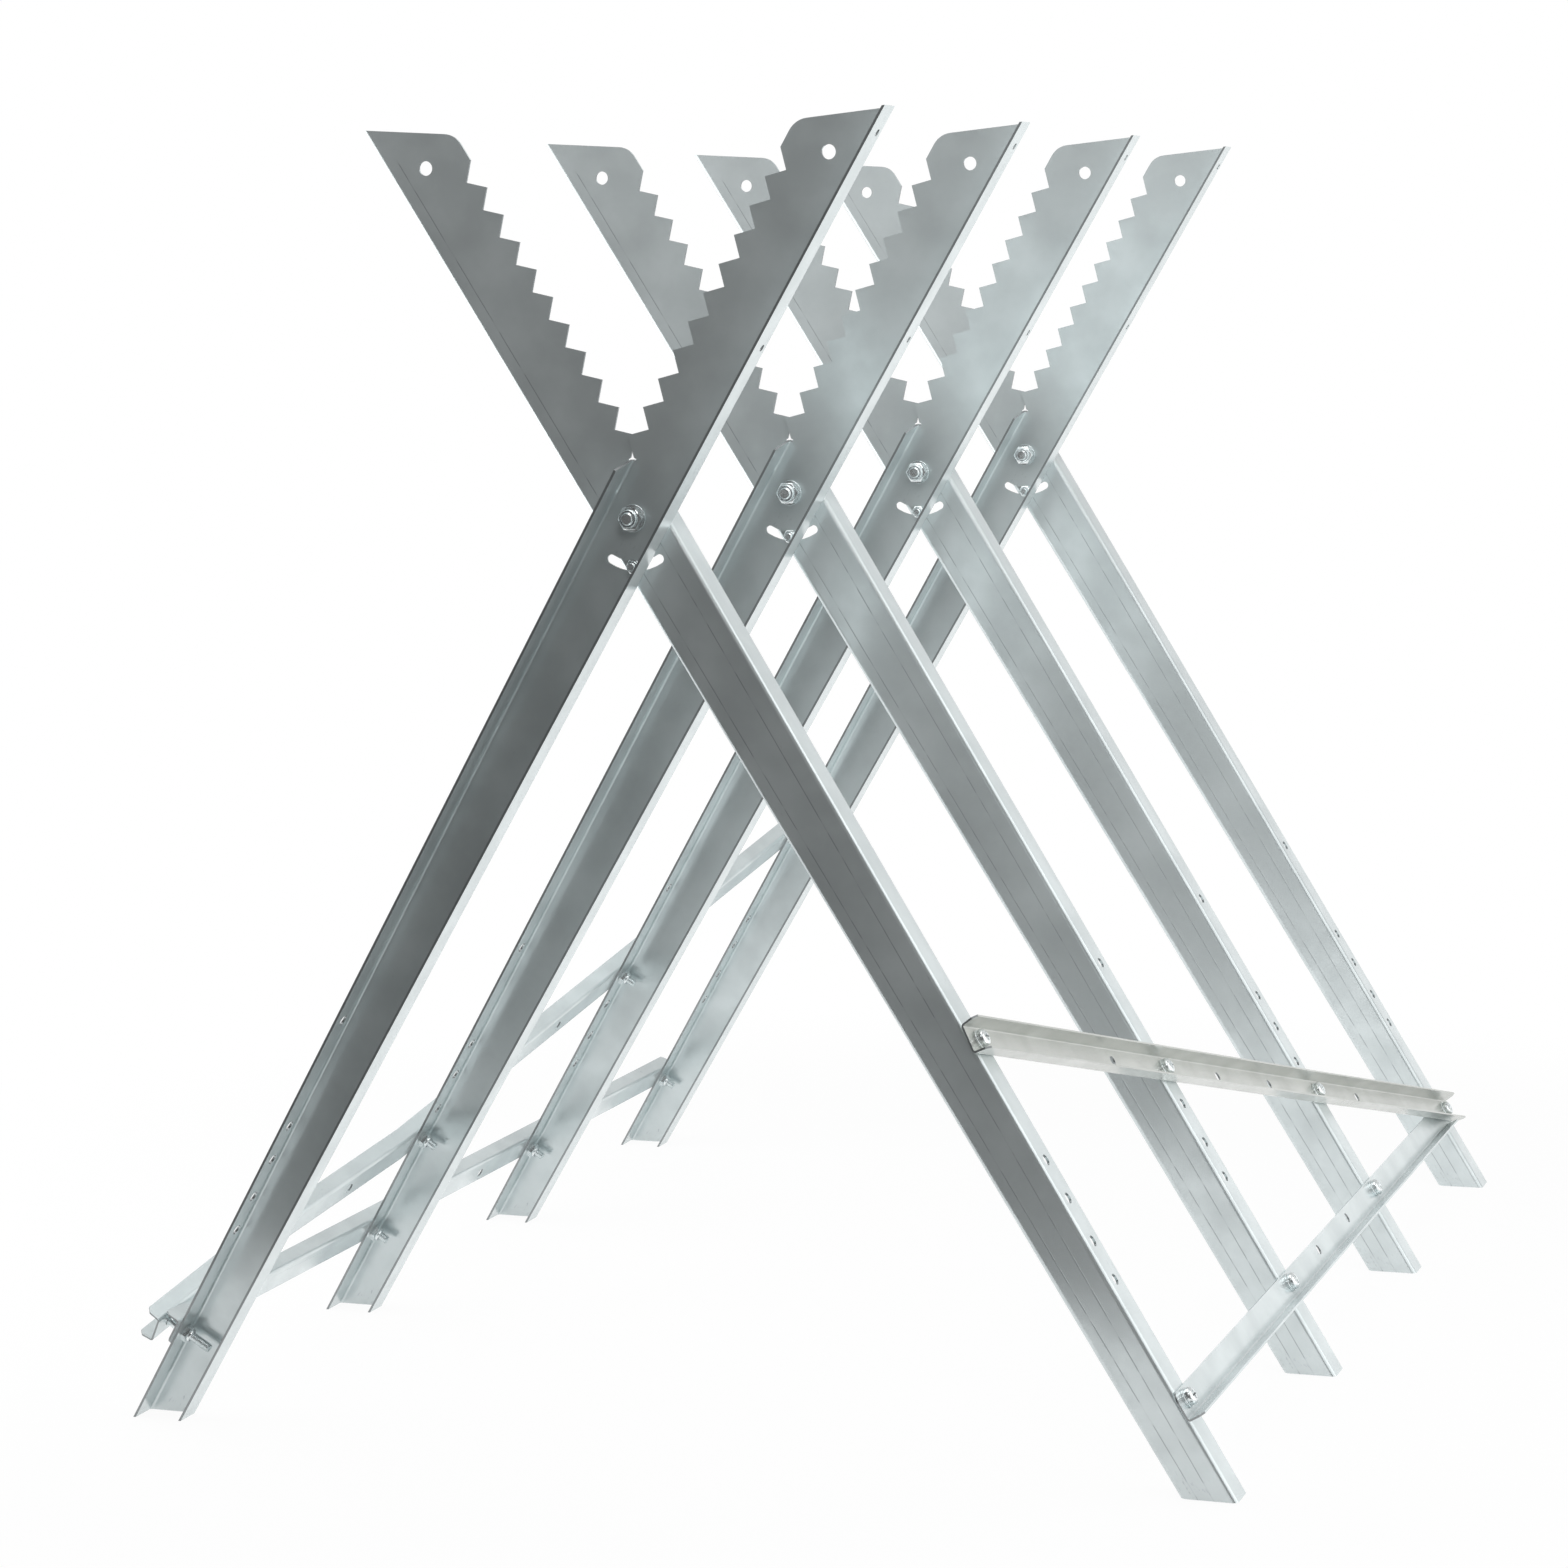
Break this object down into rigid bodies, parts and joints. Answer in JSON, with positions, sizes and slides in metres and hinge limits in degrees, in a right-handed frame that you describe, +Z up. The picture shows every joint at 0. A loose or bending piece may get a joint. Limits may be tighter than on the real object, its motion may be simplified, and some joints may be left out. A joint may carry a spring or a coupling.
{
  "type": "log sawhorse",
  "caption": "Folding log sawhorse: crossed folded-steel legs in a row, bolted at pivots with arc-slot stops, saw-tooth V jaws above and diagonal braces at the feet.",
  "frame": {"origin": "on the floor, midway between the left and right feet and midway along the row of frames", "axes": "+Z up, Y along the row of crossed frames and the log, X across from the left feet to the right feet"},
  "size_m": [0.7022, 0.839, 0.7885],
  "materials": {
    "galvanised_sheet": "satin zinc-coated sheet",
    "zinc_fasteners": "bright zinc-plated"
  },
  "bodies": {
    "left_set": {"left_leg_1": "galvanised_sheet", "left_leg_2": "galvanised_sheet", "left_leg_3": "galvanised_sheet", "left_leg_4": "galvanised_sheet", "left_lower_brace": "galvanised_sheet", "left_diagonal_brace": "galvanised_sheet", "left_brace_bolts": "zinc_fasteners", "left_brace_washers": "zinc_fasteners", "left_brace_nuts": "zinc_fasteners", "left_shared_bolt": "zinc_fasteners", "left_shared_bolt_washer": "zinc_fasteners", "left_shared_bolt_nut": "zinc_fasteners", "pivot_bolts": "zinc_fasteners", "pivot_head_washers": "zinc_fasteners", "pivot_nut_washers": "zinc_fasteners", "pivot_nuts": "zinc_fasteners"},
    "right_set": {"right_leg_1": "galvanised_sheet", "right_leg_2": "galvanised_sheet", "right_leg_3": "galvanised_sheet", "right_leg_4": "galvanised_sheet", "right_lower_brace": "galvanised_sheet", "right_diagonal_brace": "galvanised_sheet", "right_brace_bolts": "zinc_fasteners", "right_brace_washers": "zinc_fasteners", "right_brace_nuts": "zinc_fasteners", "right_shared_bolt": "zinc_fasteners", "right_shared_bolt_washer": "zinc_fasteners", "right_shared_bolt_nut": "zinc_fasteners"},
    "stop_set": {"stop_bolts": "zinc_fasteners", "stop_nuts": "zinc_fasteners"}
  },
  "joints": [
    {"name": "fold", "type": "hinge", "parent": "left_set", "child": "right_set", "pos_m": [0, 0, 0.56], "axis": [0, 1, 0], "range_deg": [0, 61]},
    {"name": "stop_travel", "type": "hinge", "parent": "left_set", "child": "stop_set", "pos_m": [0, 0, 0.56], "axis": [0, 1, 0], "range_deg": [0, 30.5]}
  ],
  "couplings": [
    {"joint": "stop_travel", "follows": "fold", "ratio": 0.5}
  ]
}
